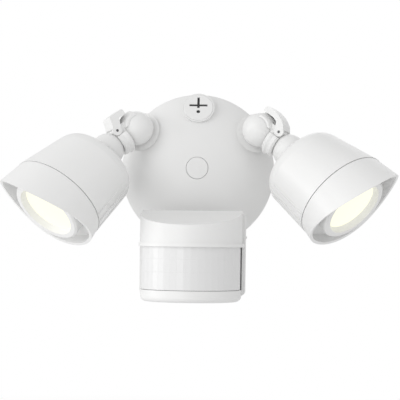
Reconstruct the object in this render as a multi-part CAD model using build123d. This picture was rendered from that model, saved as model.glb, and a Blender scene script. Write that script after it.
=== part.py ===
from build123d import *
import os
from math import cos, hypot, radians, sin, sqrt

# A wall light with two lamp heads and a motion sensor. Millimetres. The wall is the plane Y = 0,
# the light faces -Y and Z is up. The origin is the middle of the canopy's back.

# ---- shared walls and fits
WALL = 2.5                  # moulded wall thickness
RUN_GAP = 0.3               # between faces that turn on each other
SHAFT_GAP = 0.08            # radial, pin or stem in its hole
SEAT_GAP = 0.1              # around a piece that sits still in its recess

# ---- canopy
CANOPY_RADIUS = 65.0
CANOPY_HEIGHT = 34.0        # wall to the top of the dome
RIM_BAND = 3.5              # straight side above the gasket
RIM_ROUND = 3.0
GASKET_THICK = 2.5
GASKET_WIDTH = 5.0
GASKET_INSET = 1.0

# ---- middle of the canopy: screw, tower and plug
TOWER_RADIUS = 12.0
TOWER_FOOT = 6.0            # height of the tower's open end above the wall
PLUG_RADIUS = 9.0
PLUG_THICK = 3.0
PLUG_LEG = 3.0
SCREW_RADIUS = 2.0
SCREW_HEAD_RADIUS = 4.5
SCREW_HEAD_THICK = 3.0
HEAD_SLOT_WIDTH = 1.0

# ---- crossbar for the junction box
BAR_LENGTH = 100.0
BAR_WIDTH = 22.0
BAR_THICK = 1.6
BAR_SLOT_SPACING = 79.4     # between the slots' centres, covers 70 to 89 mm boxes
BAR_SLOT_LENGTH = 14.4
BAR_SLOT_WIDTH = 4.8

# ---- lamp arm: ball A turns in the canopy boss, ball B carries the lamp
BALL_A_PLACE = (51.5, -28.5, 33.0)      # right side, mirrored for the left
BALL_SPACING = 32.0
ARM_AXIS = {"left": (-0.709, -0.341, -0.606), "right": (0.772, -0.289, -0.566)}
BOSS_LEAN = 21.0            # degrees that a lamp boss leans outward from the wall's normal
BALL_A_RADIUS = 14.2
BALL_B_RADIUS = 13.7
BOSS_RIM_RADIUS = 16.7
BOSS_FOOT_RADIUS = 11.0
BOSS_RIM_DROP = 10.0        # boss rim below the middle of ball A
BOSS_HEIGHT = 12.5
STEM_RADIUS = 5.0
NUT_SEAT_DROP = 18.5        # seat of the ball's nut below the middle of ball A
STEM_LENGTH = 27.0          # from the middle of ball A
NUT_RADIUS = 8.0
NUT_THICK = 5.0
NUT_POCKET_RADIUS = 8.9
WIRE_BORE_RADIUS = 2.5

# ---- clamp between the two balls, along the line from ball A to ball B
CLAMP_RADIUS = 12.6
CLAMP_RIM = 13.6            # its wider rim beside ball A
CLAMP_START = 12.6          # its end over ball A, measured on the axis
CLAMP_END = 21.6            # its end over ball B
CLAMP_EDGE = 1.2            # bevel of both ends
RIM_LENGTH = 2.8
RIM_FALL = 2.0              # length of the step from the rim to the rest
SHELL_WALL = 1.2            # shell that hugs the upper side of ball A
SHELL_LOW = 6.5             # its lowest height above the clamp's axis
SHELL_HALF = 10.5           # half its width
SHELL_START = -3.0          # its end over ball A
LUG_SIDE = (0.59, -0.19, 0.785)         # the side of the right clamp that the lug stands on
LUG_LOW = 4.0               # lug's lowest height above the clamp's axis
LUG_WIDTH = 15.2
LUG_START = 9.0
PIN_HEIGHT = 8.6            # lever pin above the clamp's axis
PIN_ALONG = 18.4            # lever pin from the middle of ball A
PIN_RADIUS = 1.1
PIN_SUNK = 0.3              # its ends sit this deep in the lever's cheeks
LUG_ROUND = 2.6             # lug's round end about the pin
LEVER_LOW = 16.05           # underside of the lever's handle above the clamp's axis
LEVER_TOP = 21.2
LEVER_NOSE = (20.6, 11.95)  # end of the lever's back over ball B: along the axis, above it
LEVER_BACK = {              # outer line of the lever's back from its handle's end: along, above
    "left": ((4.0, LEVER_TOP), (17.3, LEVER_TOP), (18.6, 16.8)),
    "right": ((-3.0, LEVER_TOP), (5.0, LEVER_TOP), (10.0, 20.0), (14.1, 18.2), (18.0, 15.6)),
}
LEVER_INSIDE = ((9.0, LEVER_LOW), (11.0, 15.6), (15.0, 13.6), (18.4, 11.5))
LEVER_CHEEK = 2.0
LEVER_EAR_RADIUS = 4.0
LEVER_LIFT_START = 10.8     # where the lever's cheeks begin under its handle

# ---- lamp head, along its own axis from the seam between housing and visor
LAMP_AXIS = {"left": (-0.506, -0.480, -0.717), "right": (0.588, -0.459, -0.666)}
LAMP_TOP = {"left": (-0.762, -0.084, 0.641), "right": (0.725, -0.081, 0.683)}
NECK_BEHIND_SEAM = 64.2
NECK_OFFSET = 5.4           # neck below the lamp's axis, toward the grooved underside
SEAM_RADIUS = 41.0
SEAM_GAP = 0.6
BODY_LENGTH = 41.0          # straight tapered part of the housing
BODY_REAR_RADIUS = 35.8
BODY_REAR_DROP = 5.4        # rear circle below the lamp's axis
SHOULDER_LENGTH = 7.5       # from there to where the rear cone begins
SHOULDER_ROUND = 12.0
SHOULDER_INWARD = 2.6
NECK_FACE_RADIUS = 13.4
NECK_SEAT = 59.7            # flat seat of the neck ball behind the seam
NECK_WALL = 4.0
NECK_STEM_RADIUS = 6.0
NECK_STEM_LENGTH = 16.0
NECK_NUT_RADIUS = 9.5
GROOVE_COUNT = 7
GROOVE_PITCH = 12.0         # degrees between grooves
GROOVE_WIDTH = 3.2
GROOVE_DEPTH = 1.0
GROOVE_START = 1.0
GROOVE_END = 43.0
SCREW_CIRCLE = 34.5         # visor screws and their posts
POST_RADIUS = 3.6
POST_LENGTH = 12.0
SMALL_SCREW_RADIUS = 1.4
SMALL_HEAD_RADIUS = 2.6
SMALL_HEAD_THICK = 1.6
SMALL_SCREW_LENGTH = 9.0

# ---- visor
VISOR_TURN = 62.0           # degrees that each visor is turned on its housing toward the front
VISOR_FLARE = 0.14          # growth of the visor's radius with length
VISOR_WALL = 2.2
VISOR_FLOOR = 2.2
VISOR_SIDE = 14.3           # length at its sides
VISOR_RISE = 10.5           # how its length grows toward the tip
VISOR_CURVE = 7.5
VISOR_MAX = 34.0
VISOR_FLOOR_RADIUS = 29.9

# ---- lens, bezel and light source
BEZEL_RADIUS = 29.6
BEZEL_FRONT = 16.0
BEZEL_FLANGE_RADIUS = 30.8
BEZEL_FLANGE_THICK = 2.0
LENS_RADIUS = 24.2
LENS_REAR = 9.0
LENS_THICK = 1.6
LENS_CROWN = 1.6
LENS_LIP = 1.2
LENS_GASKET_THICK = 1.0
LENS_GASKET_WIDTH = 1.8
SPREADER_FRONT = -9.0
SPREADER_THICK = 3.0
SPREADER_RADIUS = 31.0
BOARD_RADIUS = 20.0
BOARD_THICK = 1.6
CHIP_RADIUS = 7.5
CHIP_THICK = 1.0
REFLECTOR_SMALL = 8.5
REFLECTOR_WALL = 1.0

# ---- blanking cap over the third lamp position
CAP_PLACE = (0.0, -22.0, 52.0)
CAP_LEAN = 22.5
CAP_RADIUS = 12.4
CAP_BOSS_RADIUS = 13.6
CAP_THICK = 3.0
CAP_PROUD = 0.6
CROSS_WIDTH = 2.0
CROSS_HALF_SPAN = 7.6
CROSS_TOP = 9.6
CROSS_LOW = -0.7
CROSS_HEIGHT = 1.9
CROSS_DEPTH = 1.2
DOT_RADIUS = 1.6
DOT_DROP = 4.1

# ---- sensor mount and yoke
PIVOT_HEIGHT = -51.0        # tilt pin's height
SENSOR_BOSS_RADIUS = 13.0
SENSOR_BOSS_FRONT = 27.0    # from the wall
MOUNT_FLANGE_THICK = 3.0
MOUNT_FLANGE_RADIUS = 11.0
BARREL_RADIUS = 7.5
BARREL_HEIGHT = 14.0
PAN_AXIS_FRONT = 38.0       # pan pin's distance from the wall
YOKE_PLATE = 3.0
YOKE_WEB = 3.5
TONGUE_WIDTH = 9.4
TONGUE_RADIUS = 5.0
TILT_AXIS_FRONT = 57.0
BRACKET_PIN_RADIUS = 2.0

# ---- sensor head, before it is turned on its pins
SENSOR_PAN = -4.0           # degrees, its front looks to the viewer's left
SENSOR_TILT = 1.0           # degrees, nose down
SENSOR_WIDTH = 81.0
SENSOR_BACK = 52.0          # rear cover's back face from the wall
REAR_COVER_DEPTH = 14.0
REAR_COVER_EXTRA = 2.0      # rear cover is this much wider on each side
SENSOR_DEPTH = 50.5         # front shells, rear cover to nose
SENSOR_TOP = -36.8          # roof's back edge
ROOF_SLOPE = 13.6
LENS_TOP = -66.0
LENS_BOTTOM = -100.0
SENSOR_BOTTOM = -109.2
BRIM_HEIGHT = 3.0
BRIM_PROUD = 1.2
LENS_INSET = 1.2
LENS_WALL = 1.4
BASE_ROUND = 4.0
BASE_INSET = 0.6            # base narrower than the hood
REAR_COVER_TOP = -38.0
REAR_COVER_BOTTOM = -105.0
CHANNEL_WIDTH = 12.0        # slot in the rear cover for the yoke's tongue
CHANNEL_DEPTH = 12.0
CHANNEL_BOTTOM = -69.0
SIDE_GROOVE = 1.4           # dark gap between the window and the rear cover

# ---- sensor electronics and controls
PCB_SIZE = (58.0, 1.6, 48.0)
PCB_FRONT = 74.0            # from the wall
PCB_MIDDLE = -80.0
DETECTOR_RADIUS = 4.6
DETECTOR_LENGTH = 4.4
CELL_RADIUS = 2.6
CELL_DROP = 17.0
RELAY_SIZE = (16.0, 6.5, 19.0)
KNOB_RADIUS = 5.0
KNOB_HEIGHT = 7.0
KNOB_SPACING = 26.0
KNOB_FRONT = 90.0           # from the wall
KNOB_SUNK = 0.4             # knobs and slider end this far above the base's underside
SWITCH_SIZE = (7.0, 4.0, 4.0)
SWITCH_TRAVEL = 6.0
CONTROL_POST = 2.4

# ---- electronics in the canopy
DRIVER_BOX = (31.0, 34.0, 11.0)
DRIVER_PLACE = (-30.5, -5.0)
DRIVER_BACK = 3.0
DRIVER_TAB = 6.0
DRIVER_TAB_THICK = 2.0
TERMINAL_SIZE = (22.0, 14.0, 9.0)
TERMINAL_PLACE = (29.0, -4.0)
STANDOFF_RADIUS = 3.0

BOTTOM = (Align.CENTER, Align.CENTER, Align.MIN)
SIDES = {"left": -1, "right": 1}


# ---- small helpers, all along the local Z axis
def rod(radius, start, end):
    return Pos(0, 0, start) * Cylinder(radius, end - start, align=BOTTOM)


def tube(outer, inner, start, end):
    return rod(outer, start, end) - rod(inner, start - 1, end + 1)


def block(x0, x1, y0, y1, z0, z1):
    middle = Pos((x0 + x1) / 2, (y0 + y1) / 2, (z0 + z1) / 2)
    return middle * Box(x1 - x0, y1 - y0, z1 - z0)


def hex_nut(radius, bore, start, end):
    body = Pos(0, 0, start) * extrude(RegularPolygon(radius, 6), end - start)
    return body - rod(bore, start - 1, end + 1)


def turned(points):
    """A solid of revolution about Z from the outline of its half section (x, z)."""
    return revolve(Plane.XZ * make_face(Polyline(*points, close=True)), Axis.Z)


def slotted_head_screw(radius, head_radius, head_thick, tip, seat):
    """A screw along Z: its head sits on the seat height, its tip is below."""
    screw = rod(radius, tip, seat) + rod(head_radius, seat, seat + head_thick)
    slot = head_thick / 2
    reach = head_radius + 1
    for turn in (0, 90):
        cut = block(-reach, reach, -HEAD_SLOT_WIDTH / 2, HEAD_SLOT_WIDTH / 2, slot, head_thick + 1)
        screw -= Pos(0, 0, seat) * Rot(0, 0, turn) * cut
    return screw


def group(shapes):
    """Separate solids that share one node."""
    joined = shapes[0]
    for shape in shapes[1:]:
        joined += shape
    return joined


# ---- frames
WALL_FRAME = Plane(origin=(0, 0, 0), x_dir=(1, 0, 0), z_dir=(0, -1, 0))


def side_point(point, side):
    return Vector(point[0] * SIDES[side], point[1], point[2])


def square_frame(origin, axis, toward):
    """A frame with Z along the axis and X toward a direction, squared to the axis."""
    axis = Vector(*axis).normalized()
    toward = Vector(*toward)
    return Plane(origin=origin, x_dir=toward - axis * toward.dot(axis), z_dir=axis)


def ball_a(side):
    return side_point(BALL_A_PLACE, side)


def ball_b(side):
    return ball_a(side) + Vector(*ARM_AXIS[side]).normalized() * BALL_SPACING


def boss_axis(side):
    reach = hypot(BALL_A_PLACE[0], BALL_A_PLACE[2])
    lean = sin(radians(BOSS_LEAN))
    outward = BALL_A_PLACE[0] / reach * lean * SIDES[side]
    return (outward, -cos(radians(BOSS_LEAN)), BALL_A_PLACE[2] / reach * lean)


def boss_frame(side):
    """Origin at the middle of ball A, Z out of the boss."""
    return square_frame(ball_a(side), boss_axis(side), (0, 0, 1))


def clamp_frame(side):
    """Origin at the middle of ball A, Z toward ball B, X toward the lug."""
    return square_frame(ball_a(side), ARM_AXIS[side], side_point(LUG_SIDE, side))


def lamp_frame(side):
    """Origin at the middle of the seam, Z out of the lamp's mouth, X toward the lamp's top."""
    neck = square_frame(ball_b(side), LAMP_AXIS[side], LAMP_TOP[side])
    return neck * Pos(NECK_OFFSET, 0, NECK_BEHIND_SEAM)


CAP_FRAME = Plane(origin=CAP_PLACE, x_dir=(1, 0, 0),
                  z_dir=(0, -cos(radians(CAP_LEAN)), sin(radians(CAP_LEAN))))
SHOULDER = GASKET_THICK + RIM_BAND
DOME_SPHERE = (CANOPY_RADIUS ** 2 + (CANOPY_HEIGHT - SHOULDER) ** 2) / (2 * (CANOPY_HEIGHT - SHOULDER))
DOME_CENTRE = CANOPY_HEIGHT - DOME_SPHERE


# ---- canopy
def dome_form(inset, base, rounding):
    """The domed form, its skin moved in by an inset."""
    radius = CANOPY_RADIUS - inset
    sphere = DOME_SPHERE - inset
    shoulder = DOME_CENTRE + sqrt(sphere ** 2 - radius ** 2)
    top = DOME_CENTRE + sphere
    middle = DOME_CENTRE + sqrt(sphere ** 2 - (radius / 2) ** 2)
    outline = Curve() + [
        Line((0, base), (radius, base)),
        Line((radius, base), (radius, shoulder)),
        ThreePointArc((radius, shoulder), (radius / 2, middle), (0, top)),
        Line((0, top), (0, base)),
    ]
    section = make_face(outline)
    corner = section.vertices().sort_by_distance((radius, shoulder, 0))[0]
    return revolve(Plane.XZ * fillet(corner, rounding), Axis.Z)


def lamp_boss(side):
    """Flared boss of one arm, in the wall's frame."""
    foot = -BOSS_RIM_DROP - BOSS_HEIGHT
    boss = Pos(0, 0, foot) * Cone(BOSS_FOOT_RADIUS, BOSS_RIM_RADIUS, BOSS_HEIGHT, align=BOTTOM)
    return boss_frame(side) * boss


def lamp_boss_cut(side):
    """Cup of the ball, hole of its stem and pocket of its nut."""
    cut = Sphere(BALL_A_RADIUS + RUN_GAP)
    cut += rod(STEM_RADIUS + SHAFT_GAP, -NUT_SEAT_DROP - 1, -BALL_A_RADIUS + 2)
    cut += rod(NUT_POCKET_RADIUS, -BOSS_RIM_DROP - BOSS_HEIGHT - 20, -NUT_SEAT_DROP)
    return boss_frame(side) * cut


def cap_cut():
    cut = rod(CAP_RADIUS + SEAT_GAP, -CAP_THICK, 5)
    cut += rod(STEM_RADIUS + SHAFT_GAP, -CAP_THICK - 20, 1)
    cut += rod(NUT_POCKET_RADIUS, -CAP_THICK - 24, -CAP_THICK - WALL)
    return CAP_FRAME * cut


def standoffs():
    """Screw posts that hang from the dome: two for the driver, one for the terminal block."""
    half = DRIVER_BOX[1] / 2 + DRIVER_TAB / 2
    x, y = DRIVER_PLACE
    top = DRIVER_BACK + DRIVER_BOX[2]
    terminal_top = DRIVER_BACK + TERMINAL_SIZE[2]
    return [(x, y - half, top), (x, y + half, top), (*TERMINAL_PLACE, terminal_top)]


def canopy_cover():
    cover = dome_form(0, GASKET_THICK, RIM_ROUND)
    hollow = dome_form(WALL, GASKET_THICK - 1, RIM_ROUND - 1)
    cover = cover - hollow
    inside = dome_form(WALL / 2, GASKET_THICK, RIM_ROUND - 1)
    cover += rod(TOWER_RADIUS, TOWER_FOOT, CANOPY_HEIGHT) & inside
    pocket = rod(SENSOR_BOSS_RADIUS, SENSOR_BOSS_FRONT - 12, SENSOR_BOSS_FRONT)
    cover += Pos(0, PIVOT_HEIGHT, 0) * pocket
    for x, y, top in standoffs():
        cover += Pos(x, y, 0) * rod(STANDOFF_RADIUS, top, CANOPY_HEIGHT) & inside
    plug_seat = CANOPY_HEIGHT - PLUG_THICK - PLUG_LEG
    cover -= rod(PLUG_RADIUS + RUN_GAP, plug_seat, CANOPY_HEIGHT + 1)
    cover -= rod(SCREW_HEAD_RADIUS + SEAT_GAP, plug_seat - SCREW_HEAD_THICK, CANOPY_HEIGHT)
    cover -= rod(SCREW_RADIUS + SHAFT_GAP, TOWER_FOOT - 1, CANOPY_HEIGHT)
    sensor_hole = rod(STEM_RADIUS + SHAFT_GAP, 0, SENSOR_BOSS_FRONT + 1)
    sensor_hole += rod(NUT_POCKET_RADIUS, 0, SENSOR_BOSS_FRONT - WALL - 4)
    cover -= Pos(0, PIVOT_HEIGHT, 0) * sensor_hole
    for x, y, top in standoffs():
        cover -= Pos(x, y, 0) * rod(SMALL_SCREW_RADIUS + SEAT_GAP / 2, top - 1, top + 6)
    cover = WALL_FRAME * cover
    cap_boss = Pos(0, 0, -BOSS_HEIGHT) * Cone(BOSS_FOOT_RADIUS, CAP_BOSS_RADIUS, BOSS_HEIGHT, align=BOTTOM)
    cover += CAP_FRAME * cap_boss
    cover -= cap_cut()
    for side in SIDES:
        cover += lamp_boss(side)
        cover -= lamp_boss_cut(side)
    return cover


def canopy_gasket():
    outer = CANOPY_RADIUS - GASKET_INSET
    return WALL_FRAME * tube(outer, outer - GASKET_WIDTH, 0, GASKET_THICK)


def mounting_bracket():
    bar = block(-BAR_LENGTH / 2, BAR_LENGTH / 2, -BAR_WIDTH / 2, BAR_WIDTH / 2, 0, BAR_THICK)
    bar = fillet(bar.edges().filter_by(Axis.Z), 4)
    slot = Pos(0, 0, -1) * extrude(SlotOverall(BAR_SLOT_LENGTH, BAR_SLOT_WIDTH), BAR_THICK + 2)
    for sign in (-1, 1):
        bar -= Pos(sign * BAR_SLOT_SPACING / 2, 0, 0) * slot
    bar -= rod(SCREW_RADIUS + SHAFT_GAP, -1, BAR_THICK + 1)
    return WALL_FRAME * bar


def centre_screw():
    seat = CANOPY_HEIGHT - PLUG_THICK - PLUG_LEG - SCREW_HEAD_THICK
    screw = slotted_head_screw(SCREW_RADIUS, SCREW_HEAD_RADIUS, SCREW_HEAD_THICK, SEAT_GAP, seat)
    return WALL_FRAME * screw


def centre_plug():
    """Push-in plug: its face follows the dome, its skirt stands on the floor of the recess."""
    floor = CANOPY_HEIGHT - PLUG_THICK - PLUG_LEG
    plug = rod(PLUG_RADIUS, floor, CANOPY_HEIGHT + 1) & dome_form(-0.25, GASKET_THICK, RIM_ROUND)
    plug -= rod(PLUG_RADIUS - 1.6, floor - 1, CANOPY_HEIGHT - PLUG_THICK)
    return WALL_FRAME * plug


def blanking_cap():
    cap = rod(CAP_RADIUS, -CAP_THICK, CAP_PROUD)
    cap = chamfer(cap.edges().sort_by(Axis.Z)[-1], 0.5)
    cap += rod(STEM_RADIUS, -CAP_THICK - WALL - NUT_THICK - 1, -CAP_THICK)
    floor = CAP_PROUD - CROSS_DEPTH
    half = CROSS_WIDTH / 2
    cap -= block(-CROSS_HALF_SPAN, CROSS_HALF_SPAN, CROSS_HEIGHT - half, CROSS_HEIGHT + half, floor, 5)
    cap -= block(-half, half, CROSS_LOW, CROSS_TOP, floor, 5)
    cap -= Pos(0, -DOT_DROP, 0) * rod(DOT_RADIUS, floor, 5)
    return CAP_FRAME * cap


def blanking_nut():
    seat = -CAP_THICK - WALL
    return CAP_FRAME * hex_nut(NUT_RADIUS, STEM_RADIUS + SHAFT_GAP, seat - NUT_THICK, seat)


def driver_box():
    """Driver module: a rounded case with a screw tab at each end."""
    width, length, height = DRIVER_BOX
    case = Box(width, length, height, align=BOTTOM)
    case = fillet(case.edges().filter_by(Axis.Z), 3)
    half = length / 2 + DRIVER_TAB
    tabs = block(-5, 5, -half, half, height - DRIVER_TAB_THICK, height)
    for sign in (-1, 1):
        tabs -= Pos(0, sign * (half - DRIVER_TAB / 2), 0) * rod(SMALL_SCREW_RADIUS, 0, height + 1)
    return WALL_FRAME * Pos(*DRIVER_PLACE, DRIVER_BACK) * (case + tabs)


def terminal_block():
    width, depth, height = TERMINAL_SIZE
    body = Box(width, depth, height, align=BOTTOM)
    for x in (-7, 7):
        body -= Pos(x, 0, 0) * rod(2.2, -1, 4)
    body -= rod(SMALL_SCREW_RADIUS + SHAFT_GAP, -1, height + 1)
    body -= rod(SMALL_HEAD_RADIUS + SEAT_GAP, -1, SMALL_HEAD_THICK)
    return WALL_FRAME * Pos(*TERMINAL_PLACE, DRIVER_BACK) * body


def standoff_screws():
    """Small screws from the wall side into the posts."""
    screws = []
    for x, y, top in standoffs():
        seat = DRIVER_BACK + SMALL_HEAD_THICK if (x, y) == TERMINAL_PLACE else top - DRIVER_TAB_THICK
        turned_over = Pos(x, y, seat) * Rot(180, 0, 0)
        length = top + 5 - seat
        screws.append(turned_over * slotted_head_screw(
            SMALL_SCREW_RADIUS, SMALL_HEAD_RADIUS, SMALL_HEAD_THICK, -length, 0))
    return WALL_FRAME * group(screws)


# ---- lamp arm
def swivel_ball(side):
    """Ball A with its threaded stem: flat-bottomed bore for the wires along both axes."""
    ball = Sphere(BALL_A_RADIUS) + rod(STEM_RADIUS, -STEM_LENGTH, -BALL_A_RADIUS + 2)
    ball -= rod(WIRE_BORE_RADIUS, -STEM_LENGTH - 1, 0)
    ball = boss_frame(side) * ball
    return ball - clamp_frame(side) * rod(WIRE_BORE_RADIUS, 0, BALL_A_RADIUS + 1)


def swivel_nut(side):
    seat = -NUT_SEAT_DROP - RUN_GAP
    return boss_frame(side) * hex_nut(NUT_RADIUS, STEM_RADIUS + SHAFT_GAP, seat - NUT_THICK, seat)


def clamp_lug():
    """Lug beside ball B, round about the lever's pin."""
    half = LUG_WIDTH / 2
    lug = block(LUG_LOW, PIN_HEIGHT + LUG_ROUND, -half, half, LUG_START, PIN_ALONG)
    round_end = Pos(PIN_HEIGHT, 0, PIN_ALONG) * Rot(90, 0, 0) * Cylinder(LUG_ROUND, LUG_WIDTH)
    return lug + round_end


def ball_shell():
    """Thin shell over the upper side of ball A."""
    patch = block(SHELL_LOW, BALL_A_RADIUS * 2, -SHELL_HALF, SHELL_HALF, SHELL_START, CLAMP_START + 1)
    return Sphere(BALL_A_RADIUS + RUN_GAP + SHELL_WALL) & patch


def clamp_body(side):
    """Short sleeve between the balls, dished at both ends, with the shell, the lug and the lever's flats."""
    rim_end = CLAMP_START + RIM_LENGTH
    body = turned([
        (0, CLAMP_START), (CLAMP_RIM - CLAMP_EDGE, CLAMP_START), (CLAMP_RIM, CLAMP_START + CLAMP_EDGE),
        (CLAMP_RIM, rim_end), (CLAMP_RADIUS, rim_end + RIM_FALL), (CLAMP_RADIUS, CLAMP_END - CLAMP_EDGE),
        (CLAMP_RADIUS - CLAMP_EDGE, CLAMP_END), (0, CLAMP_END),
    ])
    flat = LUG_WIDTH / 2
    beyond = CLAMP_RIM + 2
    for sign in (-1, 1):
        edges = sorted((sign * flat, sign * beyond))
        body -= block(PIN_HEIGHT - LEVER_EAR_RADIUS - RUN_GAP, beyond, *edges, 0, CLAMP_END + 1)
    body -= block(PIN_HEIGHT + LUG_ROUND, beyond, -beyond, beyond, 0, CLAMP_END + 1)
    body -= block(PIN_HEIGHT, beyond, -beyond, beyond, PIN_ALONG, CLAMP_END + 1)
    body += ball_shell() + clamp_lug()
    body -= Sphere(BALL_A_RADIUS + RUN_GAP)
    body -= Pos(0, 0, BALL_SPACING) * Sphere(BALL_B_RADIUS + RUN_GAP)
    body -= rod(WIRE_BORE_RADIUS, 0, BALL_SPACING)
    body -= pin_rod(PIN_RADIUS + SEAT_GAP / 2, LUG_WIDTH + 2)
    return clamp_frame(side) * body


def pin_rod(radius, length):
    return Pos(PIN_HEIGHT, 0, PIN_ALONG) * Rot(90, 0, 0) * Cylinder(radius, length)


def lever_width():
    return LUG_WIDTH + 2 * (RUN_GAP + LEVER_CHEEK)


def side_plate(points, half):
    """A plate square to the pin, from its outline along and above the clamp's axis."""
    face = make_face(Polyline(*[(above, along) for along, above in points], close=True))
    return extrude(Plane.XZ * face, half, both=True)


def clamp_lever(side):
    """Channel-shaped lever: a handle over the shell, a curved back and two cheeks on the pin."""
    half = lever_width() / 2
    inner = LUG_WIDTH / 2 + RUN_GAP
    back = LEVER_BACK[side]
    outline = [(back[0][0], LEVER_LOW), *back, LEVER_NOSE, (PIN_ALONG + LEVER_EAR_RADIUS, PIN_HEIGHT),
               (PIN_ALONG - LEVER_EAR_RADIUS, PIN_HEIGHT), (LEVER_LIFT_START, LEVER_LOW)]
    lever = side_plate(outline, half)
    lever = fillet(lever.edges().filter_by(Axis.Y).sort_by(Axis.X)[-3:], LEVER_CHEEK)
    lever += pin_rod(LEVER_EAR_RADIUS, 2 * half)
    nose_along, nose_above = LEVER_NOSE
    share = (LUG_ROUND + RUN_GAP) / LEVER_EAR_RADIUS
    inner_nose = (PIN_ALONG + (nose_along - PIN_ALONG) * share, PIN_HEIGHT + (nose_above - PIN_HEIGHT) * share)
    beyond_nose = (PIN_ALONG + (nose_along - PIN_ALONG) * 2, PIN_HEIGHT + (nose_above - PIN_HEIGHT) * 2)
    clear_end = 2 * PIN_ALONG
    hollow = [(LEVER_INSIDE[0][0], 0), *LEVER_INSIDE, inner_nose, beyond_nose,
              (clear_end, beyond_nose[1]), (clear_end, 0)]
    lever -= side_plate(hollow, inner)
    lever -= pin_rod(PIN_RADIUS + SHAFT_GAP, 2 * half + 2)
    return clamp_frame(side) * lever


def lever_pin(side):
    return clamp_frame(side) * pin_rod(PIN_RADIUS, lever_width() - 2 * PIN_SUNK)


def neck_frame(side):
    """Origin at the middle of ball B, Z toward the lamp's mouth."""
    return square_frame(ball_b(side), LAMP_AXIS[side], LAMP_TOP[side])


def neck_ball(side):
    """Ball B, flat where it sits on the lamp, with a threaded stem into the housing."""
    flat = NECK_BEHIND_SEAM - NECK_SEAT - RUN_GAP
    ball = Sphere(BALL_B_RADIUS) - rod(BALL_B_RADIUS + 1, flat, BALL_B_RADIUS + 1)
    ball += rod(NECK_STEM_RADIUS, flat - 1, NECK_STEM_LENGTH)
    ball -= rod(WIRE_BORE_RADIUS, 0, NECK_STEM_LENGTH + 1)
    ball = neck_frame(side) * ball
    to_clamp = clamp_frame(side) * Pos(0, 0, BALL_SPACING) * rod(WIRE_BORE_RADIUS, -BALL_B_RADIUS - 1, 0)
    return ball - to_clamp


def neck_nut(side):
    seat = NECK_BEHIND_SEAM - NECK_SEAT + NECK_WALL + RUN_GAP
    nut = hex_nut(NECK_NUT_RADIUS, NECK_STEM_RADIUS + SHAFT_GAP, seat, seat + NUT_THICK)
    return neck_frame(side) * nut


# ---- lamp head
def screw_places():
    """Three places round the lamp's axis, one at its top."""
    return [Rot(0, 0, turn) * Pos(SCREW_CIRCLE, 0, 0) for turn in (0, 120, 240)]


def rear_end(inset):
    """Rear end of the housing about its rear circle: a rounded shoulder, a cone and the neck's face."""
    radius = BODY_REAR_RADIUS - inset
    face_depth = NECK_SEAT - BODY_LENGTH - (NECK_WALL if inset else 0)
    outline = Polyline((0, 0), (radius, 0), (radius - SHOULDER_INWARD, -SHOULDER_LENGTH + inset),
                       (NECK_FACE_RADIUS, -face_depth), (0, -face_depth), close=True)
    section = make_face(outline)
    corner = section.vertices().sort_by_distance((radius, -SHOULDER_LENGTH, 0))[0]
    section = fillet(corner, SHOULDER_ROUND - inset)
    return Pos(-BODY_REAR_DROP, 0, -BODY_LENGTH) * revolve(Plane.XZ * section, Axis.Z)


def taper(inset, front):
    """Tapered part of the housing, up to a height at its front."""
    grow = (SEAM_RADIUS - BODY_REAR_RADIUS) / BODY_LENGTH * front
    shift = BODY_REAR_DROP / BODY_LENGTH * front
    return loft([
        Pos(-BODY_REAR_DROP, 0, -BODY_LENGTH) * Circle(BODY_REAR_RADIUS - inset),
        Pos(shift, 0, front) * Circle(SEAM_RADIUS + grow - inset),
    ])


def lamp_housing(side):
    rim = -SEAM_GAP / 2
    body = taper(0, rim) + rear_end(0)
    for number in range(GROOVE_COUNT):
        turn = 180 + (number - (GROOVE_COUNT - 1) / 2) * GROOVE_PITCH
        groove = block(SEAM_RADIUS - GROOVE_DEPTH, SEAM_RADIUS + 5, -GROOVE_WIDTH / 2, GROOVE_WIDTH / 2,
                       -GROOVE_END, -GROOVE_START)
        body -= Rot(0, 0, turn) * groove
    body -= taper(WALL, 1) + rear_end(WALL)
    rest = SPREADER_FRONT - SPREADER_THICK
    inside = tube(SEAM_RADIUS, SPREADER_RADIUS - 2, rest - 3, rest)
    for place in screw_places():
        inside += place * rod(POST_RADIUS, rest - POST_LENGTH, rim)
    body += inside & taper(WALL / 2, rim)
    for place in screw_places():
        body -= place * rod(SMALL_SCREW_RADIUS + SEAT_GAP / 2, -SMALL_SCREW_LENGTH - 1, 1)
    body -= Pos(-NECK_OFFSET, 0, 0) * rod(NECK_STEM_RADIUS + SHAFT_GAP, -NECK_SEAT - 1, -NECK_SEAT + 8)
    return lamp_frame(side) * body


def visor_edge(radius, across):
    """Length of the visor where it is this far across, from its low side to its tip."""
    share = across / radius
    return VISOR_SIDE + VISOR_RISE * share + VISOR_CURVE * share ** 2


def visor_trim():
    """Everything ahead of the visor's curved front edge."""
    reach = SEAM_RADIUS + VISOR_FLARE * VISOR_MAX
    shares = (-1.1, -0.7, -0.3, 0.1, 0.5, 0.8, 1.1)
    edge = Spline(*[(reach * s, visor_edge(reach, reach * s)) for s in shares])
    top = VISOR_MAX + 30
    border = Polyline((reach * 1.1, visor_edge(reach, reach * 1.1)), (reach * 1.1, top),
                      (-reach * 1.1, top), (-reach * 1.1, visor_edge(reach, -reach * 1.1)))
    face = make_face(Curve() + [edge, *border.edges()])
    return extrude(Plane.XZ * face, 2 * reach, both=True)


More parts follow.
